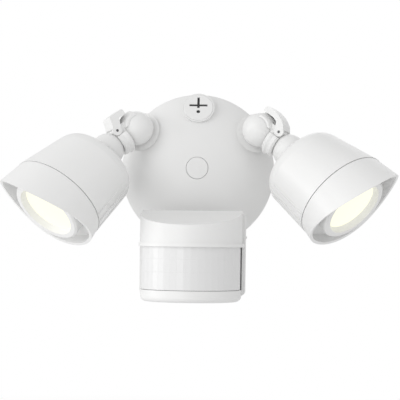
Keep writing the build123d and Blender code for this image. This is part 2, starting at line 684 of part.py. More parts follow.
def lamp_visor(side):
    back = SEAM_GAP / 2
    radius = SEAM_RADIUS - 0.4
    length = VISOR_MAX - back
    grow = VISOR_FLARE * length
    skin = Pos(0, 0, back) * Cone(radius, radius + grow, length, align=BOTTOM)
    inner = radius - VISOR_WALL
    hollow = Pos(0, 0, back + VISOR_FLOOR) * Cone(inner, inner + grow, length, align=BOTTOM)
    register = rod(SEAM_RADIUS - WALL - RUN_GAP, -back, back + 1)
    visor = skin - hollow + register - rod(VISOR_FLOOR_RADIUS, -1, 10) - visor_trim()
    visor = Rot(0, 0, VISOR_TURN * SIDES[side]) * visor
    for place in screw_places():
        visor -= place * rod(SMALL_SCREW_RADIUS + SHAFT_GAP, -1, 6)
    return lamp_frame(side) * visor


def visor_screws(side):
    seat = SEAM_GAP / 2 + VISOR_FLOOR
    screw = slotted_head_screw(SMALL_SCREW_RADIUS, SMALL_HEAD_RADIUS, SMALL_HEAD_THICK,
                               -SMALL_SCREW_LENGTH, seat)
    return lamp_frame(side) * group([place * screw for place in screw_places()])


def lens_bezel(side):
    """Raised ring round the lens: stands on the heat spreader, its flange under the visor's floor."""
    throat = LENS_RADIUS + SEAT_GAP
    lens_front = LENS_REAR + LENS_THICK
    lip = LENS_RADIUS - LENS_LIP
    foot = SPREADER_FRONT
    flange_top = -SEAM_GAP / 2
    section = [
        (throat, foot), (BEZEL_RADIUS, foot), (BEZEL_RADIUS, flange_top - BEZEL_FLANGE_THICK),
        (BEZEL_FLANGE_RADIUS, flange_top - BEZEL_FLANGE_THICK), (BEZEL_FLANGE_RADIUS, flange_top),
        (BEZEL_RADIUS, flange_top), (BEZEL_RADIUS, BEZEL_FRONT - 1.5), (BEZEL_RADIUS - 1.5, BEZEL_FRONT),
        (lip + 1.5, BEZEL_FRONT), (lip, lens_front), (throat, lens_front),
    ]
    return lamp_frame(side) * turned(section)


def lamp_lens(side):
    """Frosted lens: a disc whose middle is slightly crowned."""
    crown_radius = LENS_RADIUS - LENS_LIP - 1
    sphere = (crown_radius ** 2 + LENS_CROWN ** 2) / (2 * LENS_CROWN)
    front = LENS_REAR + LENS_THICK
    crown = Pos(0, 0, front + LENS_CROWN - sphere) * Sphere(sphere) & rod(crown_radius, front - 1, front + 5)
    return lamp_frame(side) * (rod(LENS_RADIUS, LENS_REAR, front) + crown)


def lens_gasket(side):
    back = LENS_REAR - LENS_GASKET_THICK
    return lamp_frame(side) * tube(LENS_RADIUS, LENS_RADIUS - LENS_GASKET_WIDTH, back, LENS_REAR)


def reflector(side):
    """Cone-shaped reflector between the light source and the lens."""
    back = SPREADER_FRONT + BOARD_THICK
    front = LENS_REAR - LENS_GASKET_THICK
    small, large = REFLECTOR_SMALL, LENS_RADIUS - 1
    section = [(small, back), (small + REFLECTOR_WALL, back), (large, front - 1), (LENS_RADIUS, front - 1),
               (LENS_RADIUS, front), (large - REFLECTOR_WALL, front)]
    return lamp_frame(side) * turned(section)


def led_board(side):
    """Round board with the light source on it."""
    top = SPREADER_FRONT + BOARD_THICK
    board = rod(BOARD_RADIUS, SPREADER_FRONT, top)
    for turn in (60, 180, 300):
        board -= Rot(0, 0, turn) * Pos(BOARD_RADIUS - 3, 0, 0) * rod(1.6, SPREADER_FRONT - 1, top + 1)
    return lamp_frame(side) * (board + rod(CHIP_RADIUS, top, top + CHIP_THICK))


def heat_spreader(side):
    plate = rod(SPREADER_RADIUS, SPREADER_FRONT - SPREADER_THICK, SPREADER_FRONT)
    for turn in (60, 180, 300):
        hole = Pos(BOARD_RADIUS + 5, 0, 0) * rod(2.5, SPREADER_FRONT - 10, SPREADER_FRONT + 1)
        plate -= Rot(0, 0, turn) * hole
    notch = POST_RADIUS + SEAT_GAP
    for place in screw_places():
        plate -= place * rod(notch, SPREADER_FRONT - 10, SPREADER_FRONT + 1)
    return lamp_frame(side) * plate


# ---- sensor mount and yoke, in the wall's frame (local Y is up, local Z is away from the wall)
def upright(radius, low, high, front):
    """A rod along the vertical at a distance from the wall."""
    return Pos(0, high, front) * Rot(90, 0, 0) * Cylinder(radius, high - low, align=BOTTOM)


def crosswise(radius, half, height, front):
    return Pos(0, height, front) * Rot(0, 90, 0) * Cylinder(radius, 2 * half)


BARREL_LOW = PIVOT_HEIGHT - BARREL_HEIGHT / 2
BARREL_HIGH = PIVOT_HEIGHT + BARREL_HEIGHT / 2


def sensor_mount():
    """Hollow stem through the canopy with an upright barrel at its front."""
    face = SENSOR_BOSS_FRONT
    stem = rod(STEM_RADIUS, face - WALL - 4 - NUT_THICK - 1, face)
    stem += rod(MOUNT_FLANGE_RADIUS, face, face + MOUNT_FLANGE_THICK)
    stem += rod(BARREL_RADIUS - 1, face, PAN_AXIS_FRONT)
    mount = Pos(0, PIVOT_HEIGHT, 0) * stem
    mount += upright(BARREL_RADIUS, BARREL_LOW, BARREL_HIGH, PAN_AXIS_FRONT)
    mount -= Pos(0, PIVOT_HEIGHT, 0) * rod(WIRE_BORE_RADIUS, 0, PAN_AXIS_FRONT - 5)
    mount -= upright(BRACKET_PIN_RADIUS + SHAFT_GAP, BARREL_LOW - 1, BARREL_HIGH + 1, PAN_AXIS_FRONT)
    return WALL_FRAME * mount


def mount_nut():
    seat = SENSOR_BOSS_FRONT - WALL - 4
    nut = hex_nut(NUT_RADIUS, STEM_RADIUS + SHAFT_GAP, seat - NUT_THICK, seat)
    return WALL_FRAME * Pos(0, PIVOT_HEIGHT, 0) * nut


def pan_frame(shape):
    """Turns a shape, given in the wall's frame, about the pan pin to where it rests."""
    turn = Pos(0, 0, PAN_AXIS_FRONT) * Rot(0, SENSOR_PAN, 0) * Pos(0, 0, -PAN_AXIS_FRONT)
    return WALL_FRAME * turn * shape


def head_frame(shape):
    """Turns a shape of the head about the tilt pin, then about the pan pin."""
    lift = Pos(0, PIVOT_HEIGHT, TILT_AXIS_FRONT)
    drop = Pos(0, -PIVOT_HEIGHT, -TILT_AXIS_FRONT)
    return pan_frame(lift * Rot(SENSOR_TILT, 0, 0) * drop * shape)


def sensor_yoke():
    """Two plates on the barrel, a web ahead of it, and a tongue to the head."""
    reach = BARREL_HEIGHT / 2 + RUN_GAP
    outer = reach + YOKE_PLATE
    web_back = PAN_AXIS_FRONT + BARREL_RADIUS + RUN_GAP
    web_front = web_back + YOKE_WEB
    low, high = PIVOT_HEIGHT - outer, PIVOT_HEIGHT + outer
    yoke = upright(BARREL_RADIUS, low, high, PAN_AXIS_FRONT)
    yoke += block(-BARREL_RADIUS, BARREL_RADIUS, low, high, PAN_AXIS_FRONT, web_front)
    gap = upright(BARREL_RADIUS + RUN_GAP, PIVOT_HEIGHT - reach, PIVOT_HEIGHT + reach, PAN_AXIS_FRONT)
    back = block(-20, 20, PIVOT_HEIGHT - reach, PIVOT_HEIGHT + reach, 0, PAN_AXIS_FRONT)
    yoke -= gap + back
    half = TONGUE_WIDTH / 2
    yoke += block(-half, half, PIVOT_HEIGHT - TONGUE_RADIUS, PIVOT_HEIGHT + TONGUE_RADIUS,
                  web_front - 1, TILT_AXIS_FRONT)
    yoke += crosswise(TONGUE_RADIUS, half, PIVOT_HEIGHT, TILT_AXIS_FRONT)
    yoke -= crosswise(BRACKET_PIN_RADIUS + SHAFT_GAP, half + 1, PIVOT_HEIGHT, TILT_AXIS_FRONT)
    yoke -= upright(BRACKET_PIN_RADIUS + SEAT_GAP / 2, low - 1, high + 1, PAN_AXIS_FRONT)
    return pan_frame(yoke)


def pan_pin():
    outer = BARREL_HEIGHT / 2 + RUN_GAP + YOKE_PLATE
    pin = upright(BRACKET_PIN_RADIUS, PIVOT_HEIGHT - outer, PIVOT_HEIGHT + outer, PAN_AXIS_FRONT)
    return pan_frame(pin)


def tilt_pin():
    half = CHANNEL_WIDTH / 2 + 6
    return head_frame(crosswise(BRACKET_PIN_RADIUS, half, PIVOT_HEIGHT, TILT_AXIS_FRONT))


# ---- sensor head, drawn in the wall's frame before it is turned
JOIN = SENSOR_BACK + REAR_COVER_DEPTH       # where the front shells meet the rear cover


def nose_outline(inset, back):
    """Plan of the front shells: straight sides, then an elliptical nose. X across, Y from the wall."""
    half = SENSOR_WIDTH / 2 - inset
    nose = JOIN + SENSOR_DEPTH - inset
    start = JOIN + SENSOR_DEPTH * 0.2
    arc = EllipticalCenterArc((0, start), half, nose - start, 0, arc_size=180)
    sides = Polyline((-half, start), (-half, back), (half, back), (half, start))
    return make_face(Curve() + [arc, *sides.edges()])


def nose_solid(inset, low, high, back=None):
    """The front shells' form between two heights."""
    base = Plane(origin=(0, low, 0), x_dir=(1, 0, 0), z_dir=(0, 1, 0))
    plan = nose_outline(inset, JOIN if back is None else back)
    flat = extrude(base * mirror(plan, Plane.XZ), high - low)
    return flat


def roof_cut(drop):
    """Everything above the sloping roof, moved down by a drop."""
    over = block(-60, 60, 0, 60, -20, 90)
    return Pos(0, SENSOR_TOP - drop, JOIN) * Rot(ROOF_SLOPE, 0, 0) * over


def rear_cover_box(grow, front, back):
    half = SENSOR_WIDTH / 2 + REAR_COVER_EXTRA + grow
    box = block(-half, half, REAR_COVER_BOTTOM - grow, REAR_COVER_TOP + grow, back, front)
    return fillet(box.edges().filter_by(Axis.Z), 4 + grow)


def cover_screw_places():
    x = SENSOR_WIDTH / 2 - 5.2
    return [(sign * x, y) for sign in (-1, 1) for y in (REAR_COVER_TOP - 12, REAR_COVER_BOTTOM + 4.5)]


def sensor_rear_cover():
    cover = rear_cover_box(0, JOIN, SENSOR_BACK)
    cover = fillet(cover.faces().sort_by(Axis.Z)[0].edges(), 2)
    cover -= rear_cover_box(-WALL, JOIN + 1, SENSOR_BACK + WALL)
    wide = CHANNEL_WIDTH / 2 + 5
    cover += block(-wide, wide, CHANNEL_BOTTOM - WALL, REAR_COVER_TOP - WALL, SENSOR_BACK, JOIN - 0.5)
    half = CHANNEL_WIDTH / 2
    cover -= block(-half, half, CHANNEL_BOTTOM, REAR_COVER_TOP + 1, SENSOR_BACK - 1, SENSOR_BACK + CHANNEL_DEPTH)
    cover -= crosswise(BRACKET_PIN_RADIUS + SEAT_GAP / 2, wide + 2, PIVOT_HEIGHT, TILT_AXIS_FRONT)
    for x, y in cover_screw_places():
        cover += Pos(x, y, 0) * rod(3.4, SENSOR_BACK + 1, JOIN)
        cover -= Pos(x, y, 0) * rod(SMALL_SCREW_RADIUS + SHAFT_GAP, SENSOR_BACK - 1, JOIN + 1)
        cover -= Pos(x, y, 0) * rod(SMALL_HEAD_RADIUS + SEAT_GAP, SENSOR_BACK - 1, SENSOR_BACK + SMALL_HEAD_THICK)
    nub_x = SENSOR_WIDTH / 2 + REAR_COVER_EXTRA
    for sign in (-1, 1):
        cover += Pos(sign * nub_x, LENS_TOP + 8, SENSOR_BACK + 7) * Sphere(1.2)
    return head_frame(cover)


def screw_post(x, y, front):
    post = Pos(x, y, 0) * rod(3.4, JOIN, front)
    return post - Pos(x, y, 0) * rod(SMALL_SCREW_RADIUS + SEAT_GAP / 2, JOIN - 1, JOIN + 9)


def sensor_hood():
    """Top half: a shell with a sloping roof and a drip lip along its lower edge."""
    hood = nose_solid(0, LENS_TOP, SENSOR_TOP) - roof_cut(0)
    hollow = nose_solid(WALL, LENS_TOP - 1, SENSOR_TOP, JOIN - 1) - roof_cut(WALL)
    hood -= hollow
    lip = nose_solid(-BRIM_PROUD, LENS_TOP, LENS_TOP + BRIM_HEIGHT)
    hood += lip - nose_solid(WALL, LENS_TOP - 1, LENS_TOP + BRIM_HEIGHT + 1, JOIN - 1)
    for x, y in cover_screw_places():
        if y > LENS_TOP:
            hood += screw_post(x, y, JOIN + 11)
    return head_frame(hood)


def sensor_lens():
    """Curved window: straight sides and a round front, thin enough to pass body heat."""
    high, low = LENS_TOP, LENS_BOTTOM
    lens = nose_solid(LENS_INSET, low, high, JOIN + SIDE_GROOVE)
    lens -= nose_solid(LENS_INSET + LENS_WALL, low - 1, high + 1, JOIN)
    return head_frame(lens)


def sensor_base():
    """Bottom half: a tray with a rounded foot, wells for the controls and posts for the screws."""
    base = nose_solid(BASE_INSET, SENSOR_BOTTOM, LENS_BOTTOM)
    foot = base.faces().sort_by(Axis.Y)[0]
    front_edges = [e for e in foot.edges() if e.center().Z > JOIN + 1]
    base = fillet(front_edges, BASE_ROUND)
    base -= nose_solid(BASE_INSET + WALL, SENSOR_BOTTOM + WALL, LENS_BOTTOM + 1, JOIN - 1)
    for x, y in cover_screw_places():
        if y < LENS_BOTTOM + 5:
            room = nose_solid(0.5, SENSOR_BOTTOM + 1, LENS_BOTTOM)
            room += nose_solid(LENS_INSET + LENS_WALL + RUN_GAP, LENS_BOTTOM, LENS_BOTTOM + 6)
            base += screw_post(x, y, JOIN + 11) & room
    for x in (-KNOB_SPACING / 2, KNOB_SPACING / 2):
        base -= upright_at(x, KNOB_RADIUS + RUN_GAP, SENSOR_BOTTOM - 1, SENSOR_BOTTOM + WALL + 1)
    base -= block(*switch_slot(), SENSOR_BOTTOM - 1, SENSOR_BOTTOM + WALL + 1, *switch_depth(RUN_GAP))
    return head_frame(base)


def upright_at(x, radius, low, high):
    return Pos(x, 0, 0) * upright(radius, low, high, KNOB_FRONT)


def switch_slot():
    half = SWITCH_SIZE[0] / 2 + RUN_GAP
    return -half, half + SWITCH_TRAVEL


def switch_depth(gap):
    middle = KNOB_FRONT - 16
    return middle - SWITCH_SIZE[1] / 2 - gap, middle + SWITCH_SIZE[1] / 2 + gap


def control_knob(sign):
    """Round knob with a screwdriver slot, on a shaft that turns in the board's control."""
    low = SENSOR_BOTTOM + KNOB_SUNK
    knob = upright(KNOB_RADIUS, low, low + KNOB_HEIGHT, KNOB_FRONT)
    knob += upright(CONTROL_POST, low, LENS_BOTTOM + 3, KNOB_FRONT)
    knob -= block(-KNOB_RADIUS - 1, KNOB_RADIUS + 1, low - 1, low + 1.2, KNOB_FRONT - 0.7, KNOB_FRONT + 0.7)
    return head_frame(Pos(sign * KNOB_SPACING / 2, 0, 0) * knob)


def mode_switch():
    """Slider of the mode switch: a nub through its slot, a plate inside."""
    width, depth, height = SWITCH_SIZE
    low = SENSOR_BOTTOM + KNOB_SUNK
    nub = block(-width / 2, width / 2, low, low + height, *switch_depth(0))
    plate_low = SENSOR_BOTTOM + WALL + RUN_GAP
    plate = block(-width / 2 - 2, width / 2 + 2, plate_low, plate_low + 2, *switch_depth(2))
    return head_frame(nub + plate)


def sensor_board():
    """Upright board behind the window with the controls' block at its foot."""
    width, thick, height = PCB_SIZE
    low = PCB_MIDDLE - height / 2
    board = block(-width / 2, width / 2, low, low + height, PCB_FRONT - thick, PCB_FRONT)
    shelf = block(-KNOB_SPACING / 2 - 7, KNOB_SPACING / 2 + 7, LENS_BOTTOM + 1, LENS_BOTTOM + 5,
                  PCB_FRONT - 0.5, KNOB_FRONT + 6)
    for x in (-KNOB_SPACING / 2, KNOB_SPACING / 2):
        shelf -= upright_at(x, CONTROL_POST + SHAFT_GAP, LENS_BOTTOM, LENS_BOTTOM + 6)
    rails = []
    for sign in (-1, 1):
        x = sign * (width / 2 - 4)
        for y in (low + 6, low + height - 12):
            rails.append(block(x - 2, x + 2, y, y + 6, SENSOR_BACK + WALL, PCB_FRONT - thick + 0.2))
    return head_frame(board + shelf + rails)


def pir_detector():
    can = Pos(0, PCB_MIDDLE, 0) * rod(DETECTOR_RADIUS, PCB_FRONT, PCB_FRONT + DETECTOR_LENGTH)
    can = fillet(can.edges().sort_by(Axis.Z)[-1], 0.6)
    return head_frame(can)


def light_cell():
    cell = Pos(CELL_DROP, PCB_MIDDLE - 6, 0) * rod(CELL_RADIUS, PCB_FRONT, PCB_FRONT + 3)
    return head_frame(cell)


def relay():
    width, depth, height = RELAY_SIZE
    back = PCB_FRONT - PCB_SIZE[1] - depth
    body = block(-width / 2, width / 2, PCB_MIDDLE - height / 2, PCB_MIDDLE + height / 2, back, back + depth)
    return head_frame(fillet(body.edges().filter_by(Axis.Z), 0.8))


def cover_screws():
    screws = []
    for x, y in cover_screw_places():
        seat = Pos(x, y, SENSOR_BACK + SMALL_HEAD_THICK) * Rot(180, 0, 0)
        screws.append(seat * slotted_head_screw(
            SMALL_SCREW_RADIUS, SMALL_HEAD_RADIUS, SMALL_HEAD_THICK, -20, 0))
    return head_frame(group(screws))


# ---- every node of the light
def nodes():
    parts = {
        "canopy_cover": canopy_cover(), "canopy_gasket": canopy_gasket(),
        "mounting_bracket": mounting_bracket(), "centre_screw": centre_screw(),
        "centre_plug": centre_plug(), "blanking_cap": blanking_cap(), "blanking_nut": blanking_nut(),
        "driver_box": driver_box(), "terminal_block": terminal_block(),
        "standoff_screws": standoff_screws(), "sensor_mount": sensor_mount(), "mount_nut": mount_nut(),
        "sensor_yoke": sensor_yoke(), "pan_pin": pan_pin(), "tilt_pin": tilt_pin(),
        "sensor_rear_cover": sensor_rear_cover(), "sensor_hood": sensor_hood(),
        "sensor_lens": sensor_lens(), "sensor_base": sensor_base(), "time_knob": control_knob(-1),
        "range_knob": control_knob(1), "mode_switch": mode_switch(), "sensor_board": sensor_board(),
        "pir_detector": pir_detector(), "light_cell": light_cell(), "relay": relay(),
        "cover_screws": cover_screws(),
    }
    per_side = (swivel_ball, swivel_nut, clamp_body, clamp_lever, lever_pin, neck_ball, neck_nut,
                lamp_housing, lamp_visor, visor_screws, lens_bezel, lamp_lens, lens_gasket, reflector,
                led_board, heat_spreader)
    for side in SIDES:
        for make in per_side:
            parts[f"{make.__name__}_{side}"] = make(side)
    return parts


os.makedirs("parts", exist_ok=True)
for name, shape in nodes().items():
    export_step(shape, f"parts/{name}.step")
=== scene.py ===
from math import cos, pi, radians, sin

import bmesh
import bpy
from mathutils import Matrix, Vector


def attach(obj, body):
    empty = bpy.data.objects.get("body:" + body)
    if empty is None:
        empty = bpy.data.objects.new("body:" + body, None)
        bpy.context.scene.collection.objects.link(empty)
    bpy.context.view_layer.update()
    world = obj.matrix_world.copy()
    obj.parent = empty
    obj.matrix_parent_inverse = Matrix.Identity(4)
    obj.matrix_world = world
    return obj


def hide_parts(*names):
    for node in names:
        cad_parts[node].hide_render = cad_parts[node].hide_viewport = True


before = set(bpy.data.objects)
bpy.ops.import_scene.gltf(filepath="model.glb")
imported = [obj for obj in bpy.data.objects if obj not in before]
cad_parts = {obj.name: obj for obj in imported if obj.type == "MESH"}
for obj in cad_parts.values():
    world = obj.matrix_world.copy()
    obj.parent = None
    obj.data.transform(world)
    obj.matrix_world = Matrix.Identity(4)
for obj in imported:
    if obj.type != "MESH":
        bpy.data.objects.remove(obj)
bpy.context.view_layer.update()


# ---- Camera. It looks slightly up at the light from about a metre in front of the wall, from a
# little to the right of its middle, and leans by less than a degree.
CAMERA_DISTANCE = 1.1
CAMERA_AZIMUTH = radians(1.5)
CAMERA_ELEVATION = radians(-3.0)
CAMERA_ROLL = radians(0.9)
CAMERA_SIDE = 0.0016
CAMERA_DROP = 0.0249
LENS_MM = 115.3
FILM_MM = 36.0
VIEW_END = 30

back = Vector((sin(CAMERA_AZIMUTH) * cos(CAMERA_ELEVATION),
               -cos(CAMERA_AZIMUTH) * cos(CAMERA_ELEVATION),
               sin(CAMERA_ELEVATION)))
level_right = (-back).cross(Vector((0, 0, 1))).normalized()
level_up = level_right.cross(-back)
view_right = cos(CAMERA_ROLL) * level_right + sin(CAMERA_ROLL) * level_up
view_up = -sin(CAMERA_ROLL) * level_right + cos(CAMERA_ROLL) * level_up

lens_data = bpy.data.cameras.new("camera")
lens_data.lens = LENS_MM
lens_data.sensor_width = FILM_MM
lens_data.clip_end = VIEW_END
camera = bpy.data.objects.new("camera", lens_data)
bpy.context.scene.collection.objects.link(camera)
turn = Matrix((view_right, view_up, back)).transposed().to_4x4()
place = CAMERA_DISTANCE * back + CAMERA_SIDE * view_right - CAMERA_DROP * view_up
camera.matrix_world = Matrix.Translation(place) @ turn
bpy.context.scene.camera = camera
bpy.context.scene.view_settings.view_transform = "Standard"


# ---- Stage. A pale studio floor under the light that fades into a white backdrop, lit by soft
# lamps, two broad ones from the left and weaker ones from the right, below and behind, and by the
# pale room.
FLOOR_HEIGHT = -0.30
FLOOR_RADIUS = 1.25
FLOOR_SIDES = 96
FLOOR_ROUGHNESS = 0.9
FADE_START = 0.45
FADE_END = 1.12
FLOOR_COLOUR = (0.86, 0.86, 0.86, 1)
WHITE_LIGHT = (1, 1, 1, 1)
ROOM_LEVEL = 0.70
BACKDROP_LEVEL = 1.0          # seen by the camera only
STUDIO_LAMPS = (              # name, place and size in metres, watts
    ("key", (-1.1, -1.1, 0.7), 0.9, 5.0),
    ("side", (-1.6, -0.3, 0.05), 0.9, 6.5),
    ("fill", (1.1, -1.1, 0.7), 0.9, 1.2),
    ("low", (-0.3, -0.9, -0.13), 0.3, 0.7),
    ("rear", (0.3, 1.3, 0.9), 0.9, 1.5),
)

bpy.ops.object.select_all(action="DESELECT")
bpy.ops.mesh.primitive_circle_add(vertices=FLOOR_SIDES, radius=FLOOR_RADIUS, fill_type="TRIFAN",
                                  location=(0, 0, FLOOR_HEIGHT))
floor = bpy.context.object
floor.name = "floor"
floor_look = bpy.data.materials.new("floor")
floor_look.use_nodes = True
tree = floor_look.node_tree
shader = tree.nodes["Principled BSDF"]
shader.inputs["Base Color"].default_value = FLOOR_COLOUR
shader.inputs["Roughness"].default_value = FLOOR_ROUGHNESS
shader.inputs["Specular IOR Level"].default_value = 0.0
glow = tree.nodes.new("ShaderNodeEmission")
glow.inputs["Color"].default_value = WHITE_LIGHT
mix = tree.nodes.new("ShaderNodeMixShader")
where = tree.nodes.new("ShaderNodeTexCoord")
reach = tree.nodes.new("ShaderNodeVectorMath")
reach.operation = "LENGTH"
fade = tree.nodes.new("ShaderNodeMapRange")
fade.interpolation_type = "SMOOTHSTEP"
fade.inputs["From Min"].default_value = FADE_START
fade.inputs["From Max"].default_value = FADE_END
tree.links.new(where.outputs["Object"], reach.inputs[0])
tree.links.new(reach.outputs["Value"], fade.inputs["Value"])
tree.links.new(fade.outputs["Result"], mix.inputs["Fac"])
tree.links.new(shader.outputs["BSDF"], mix.inputs[1])
tree.links.new(glow.outputs["Emission"], mix.inputs[2])
tree.links.new(mix.outputs["Shader"], tree.nodes["Material Output"].inputs["Surface"])
floor.data.materials.append(floor_look)

room = bpy.data.worlds.new("room")
room.use_nodes = True
bpy.context.scene.world = room
tree = room.node_tree
for node in list(tree.nodes):
    tree.nodes.remove(node)
soft = tree.nodes.new("ShaderNodeBackground")
soft.inputs["Color"].default_value = WHITE_LIGHT
soft.inputs["Strength"].default_value = ROOM_LEVEL
white = tree.nodes.new("ShaderNodeBackground")
white.inputs["Color"].default_value = WHITE_LIGHT
white.inputs["Strength"].default_value = BACKDROP_LEVEL
rays = tree.nodes.new("ShaderNodeLightPath")
mix = tree.nodes.new("ShaderNodeMixShader")
output = tree.nodes.new("ShaderNodeOutputWorld")
tree.links.new(rays.outputs["Is Camera Ray"], mix.inputs["Fac"])
tree.links.new(soft.outputs["Background"], mix.inputs[1])
tree.links.new(white.outputs["Background"], mix.inputs[2])
tree.links.new(mix.outputs["Shader"], output.inputs["Surface"])

for name, where, size, power in STUDIO_LAMPS:
    lamp_data = bpy.data.lights.new(name, "AREA")
    lamp_data.size = size
    lamp_data.energy = power
    lamp = bpy.data.objects.new(name, lamp_data)
    bpy.context.scene.collection.objects.link(lamp)
    lamp.location = where
    lamp.rotation_euler = (-Vector(where)).to_track_quat("-Z", "Y").to_euler()


# ---- Wall bracket. A slotted steel crossbar on the wall box, the long screw that pulls the canopy
# to it and the screws of the driver: pressed and turned steel, zinc plated in a cloudy bluish grey.
ZINC = (0.60, 0.61, 0.63, 1)
ZINC_DULL = (0.50, 0.51, 0.53, 1)
ZINC_ROUGHNESS = 0.34
ZINC_SPANGLE = 160.0
CLOUD_START = 0.35            # where a cloud leaves its first tone
CLOUD_END = 0.65


def surface(name, colour, roughness):
    """A plain look with its shader, ready for a texture."""
    look = bpy.data.materials.new(name)
    look.use_nodes = True
    shader = look.node_tree.nodes["Principled BSDF"]
    shader.inputs["Base Color"].default_value = colour
    shader.inputs["Roughness"].default_value = roughness
    return look, look.node_tree, shader


def two_tones(tree, shader, scale, first, second):
    """Let a soft cloud, in object space, run the colour between two close tones."""
    where = tree.nodes.new("ShaderNodeTexCoord")
    cloud = tree.nodes.new("ShaderNodeTexNoise")
    cloud.inputs["Scale"].default_value = scale
    ramp = tree.nodes.new("ShaderNodeValToRGB")
    ramp.color_ramp.elements[0].position = CLOUD_START
    ramp.color_ramp.elements[1].position = CLOUD_END
    ramp.color_ramp.elements[0].color = first
    ramp.color_ramp.elements[1].color = second
    tree.links.new(where.outputs["Object"], cloud.inputs["Vector"])
    tree.links.new(cloud.outputs["Fac"], ramp.inputs["Fac"])
    tree.links.new(ramp.outputs["Color"], shader.inputs["Base Color"])


def grain(tree, shader, scale, depth, strength):
    """Fine relief of a mould or a coat: scale in grains per metre, depth in metres."""
    where = tree.nodes.new("ShaderNodeTexCoord")
    noise = tree.nodes.new("ShaderNodeTexNoise")
    noise.inputs["Scale"].default_value = scale
    bump = tree.nodes.new("ShaderNodeBump")
    bump.inputs["Strength"].default_value = strength
    bump.inputs["Distance"].default_value = depth
    tree.links.new(where.outputs["Object"], noise.inputs["Vector"])
    tree.links.new(noise.outputs["Fac"], bump.inputs["Height"])
    tree.links.new(bump.outputs["Normal"], shader.inputs["Normal"])


def dress(look, *names):
    for name in names:
        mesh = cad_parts[name].data
        mesh.materials.clear()
        mesh.materials.append(look)


zinc, tree, shader = surface("zinc_plating", ZINC, ZINC_ROUGHNESS)
shader.inputs["Metallic"].default_value = 1.0
two_tones(tree, shader, ZINC_SPANGLE, ZINC_DULL, ZINC)
dress(zinc, "mounting_bracket", "centre_screw", "standoff_screws")


# ---- Foam ring. Closed-cell black foam, die cut, stuck in the canopy's edge; it seals against the
# wall. Its cut face is full of small cells.
FOAM = (0.035, 0.035, 0.037, 1)
FOAM_CELLS = 900.0
FOAM_DEPTH = 0.0004
FOAM_STRENGTH = 0.8
FOAM_ROUGHNESS = 0.9

foam, tree, shader = surface("cell_foam", FOAM, FOAM_ROUGHNESS)
where = tree.nodes.new("ShaderNodeTexCoord")
cells = tree.nodes.new("ShaderNodeTexVoronoi")
cells.inputs["Scale"].default_value = FOAM_CELLS
bump = tree.nodes.new("ShaderNodeBump")
bump.inputs["Strength"].default_value = FOAM_STRENGTH
bump.inputs["Distance"].default_value = FOAM_DEPTH
tree.links.new(where.outputs["Object"], cells.inputs["Vector"])
tree.links.new(cells.outputs["Distance"], bump.inputs["Height"])
tree.links.new(bump.outputs["Normal"], shader.inputs["Normal"])
dress(foam, "canopy_gasket")


# ---- Supply. The driver in its black case, screwed inside the canopy, and a grey connector block
# for the wires from the wall: both moulded in glass-filled nylon with a rough grain.
NYLON_BLACK = (0.030, 0.030, 0.032, 1)
NYLON_GREY = (0.40, 0.41, 0.42, 1)
NYLON_GRAIN = 1400.0
NYLON_DEPTH = 0.0003

# This black also paints the shade on the cap recess's floor.
black_nylon_and_painted_shade, tree, shader = surface("black_nylon_and_painted_shade", NYLON_BLACK, roughness=0.55)
grain(tree, shader, NYLON_GRAIN, NYLON_DEPTH, strength=0.35)
grey_nylon, tree, shader = surface("grey_nylon", NYLON_GREY, roughness=0.5)
grain(tree, shader, NYLON_GRAIN, NYLON_DEPTH, strength=0.3)
dress(black_nylon_and_painted_shade, "driver_box")
dress(grey_nylon, "terminal_block")


# ---- Canopy. One domed moulding in white polycarbonate with bosses for the lamps and the sensor,
# a flush plug over its screw and a push-in cap on the third, unused lamp boss.
WHITE_MOULD = (0.81, 0.81, 0.805, 1)
MOULD_ROUGHNESS = 0.42
MOULD_GRAIN = 900.0
MOULD_DEPTH = 0.0004
MOULD_STRENGTH = 0.06

moulding, tree, shader = surface("white_moulding", WHITE_MOULD, MOULD_ROUGHNESS)
grain(tree, shader, MOULD_GRAIN, MOULD_DEPTH, MOULD_STRENGTH)
dress(moulding, "canopy_cover", "centre_plug", "blanking_cap")
dress(zinc, "blanking_nut")


# ---- Cap recess. The cross and the dot for the tool are sunk in the cap; the dark faces in their
# depth are painted shade: a thin near-black cross and dot laid on the recess floor.
CAP_PLACE = Vector((0, -0.0220, 0.0520))
CAP_LEAN = radians(22.5)
RECESS_FLOOR = -0.0006
RECESS_THICK = 0.0003
RECESS_CLEAR = 0.00005
CROSS_HALF_WIDTH = 0.0010
CROSS_HALF_SPAN = 0.0076
CROSS_MIDDLE = 0.0019
CROSS_LOW = -0.0007
CROSS_TOP = 0.0096
DOT_MIDDLE = -0.0041
DOT_RADIUS = 0.0016
DOT_SIDES = 32
SIDE_FACING = 0.9             # a face whose normal has more than this along x is a side of the bar

